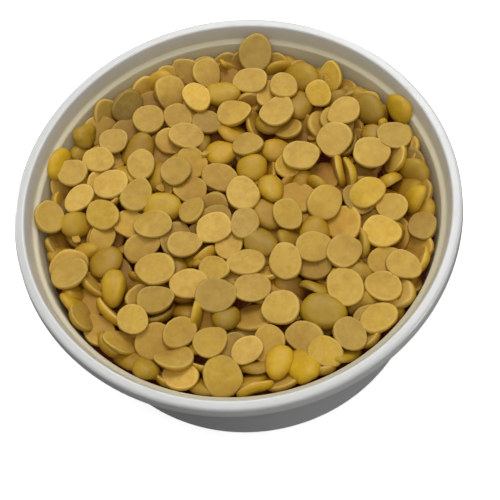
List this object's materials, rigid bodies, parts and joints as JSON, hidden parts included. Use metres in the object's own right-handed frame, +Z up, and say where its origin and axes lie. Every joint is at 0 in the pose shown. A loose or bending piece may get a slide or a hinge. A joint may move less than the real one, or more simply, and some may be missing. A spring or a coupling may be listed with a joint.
{
  "type": "dish of dry split lentils",
  "caption": "shallow round white plastic tub with a rolled lip and an inner ledge, filled nearly to the ledge with large dry yellow split lentils",
  "frame": {"origin": "the middle of the tub's foot, on the surface that it stands on", "axes": "+Z up through the middle of the tub, +X to the right and +Y away from the picture's camera"},
  "size_m": [0.12, 0.1198, 0.048],
  "materials": {
    "tub": "satin white moulded plastic",
    "lentils": "dry, matte, skinned lentil halves in yellow and tan"
  },
  "bodies": {
    "root": {"tub": "tub", "lentils": "lentils"}
  },
  "joints": []
}
